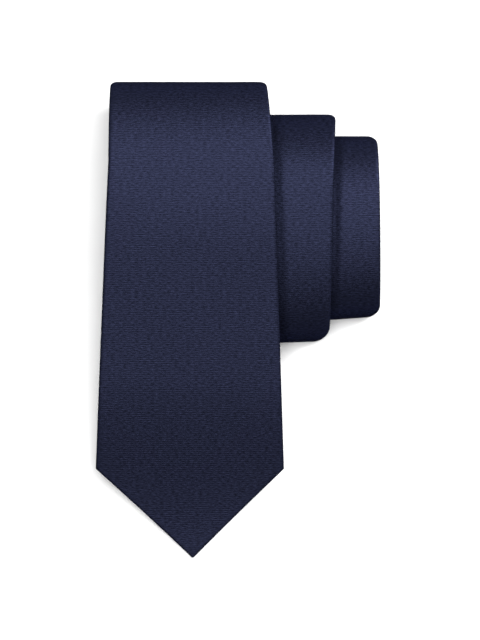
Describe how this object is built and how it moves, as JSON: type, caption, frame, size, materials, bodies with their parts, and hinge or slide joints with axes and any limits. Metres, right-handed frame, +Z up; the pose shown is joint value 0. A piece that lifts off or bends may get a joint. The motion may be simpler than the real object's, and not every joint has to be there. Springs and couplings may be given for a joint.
{
  "type": "necktie",
  "caption": "Dark navy silk necktie with a pointed blade, rolled from its tail into a flat stepped coil and laid down.",
  "frame": {"origin": "under the middle of the rolled tie, on the surface it lies on", "axes": "+Y from the blade tip to the top fold, +X from the blade toward the stepped turns, +Z up"},
  "size_m": [0.121, 0.2014, 0.0373],
  "materials": {
    "silk": "navy ribbed satin silk",
    "seam": "sewn bias seam",
    "interlining": "brushed wool interlining",
    "tipping": "smooth navy lining",
    "thread": "twisted silk thread",
    "label": "woven blank label",
    "care": "white satin tape, blank"
  },
  "bodies": {
    "roll": {"blade_shell_rolled": "silk", "blade_neck_seam": "seam", "neck_shell": "silk", "neck_tail_seam": "seam", "tail_shell": "silk", "interlining_rolled": "interlining", "tail_interlining": "interlining", "tail_tipping": "tipping", "slip_stitch_rolled": "thread", "tail_bar_tack": "thread", "tail_slack_loop": "thread", "care_label": "care"},
    "front_blade": {"blade_shell_front": "silk", "interlining_front": "interlining", "slip_stitch_front": "thread", "keeper_loop": "silk", "keeper_tack_left": "thread", "keeper_tack_right": "thread", "maker_label": "label"},
    "blade_end": {"blade_shell_end": "silk", "interlining_end": "interlining", "blade_tipping": "tipping", "slip_stitch_end": "thread", "blade_bar_tack": "thread", "blade_slack_loop": "thread"}
  },
  "joints": [
    {"name": "front_lift", "type": "hinge", "parent": "roll", "child": "front_blade", "pos_m": [-0.01947, 0.06625, 0.0373], "axis": [-1, 0, 0], "range_deg": [0, 90]},
    {"name": "blade_turn_back", "type": "hinge", "parent": "front_blade", "child": "blade_end", "pos_m": [-0.02004, -0.00817, 0.02559], "axis": [-1, 0, 0], "range_deg": [0, 120]}
  ]
}
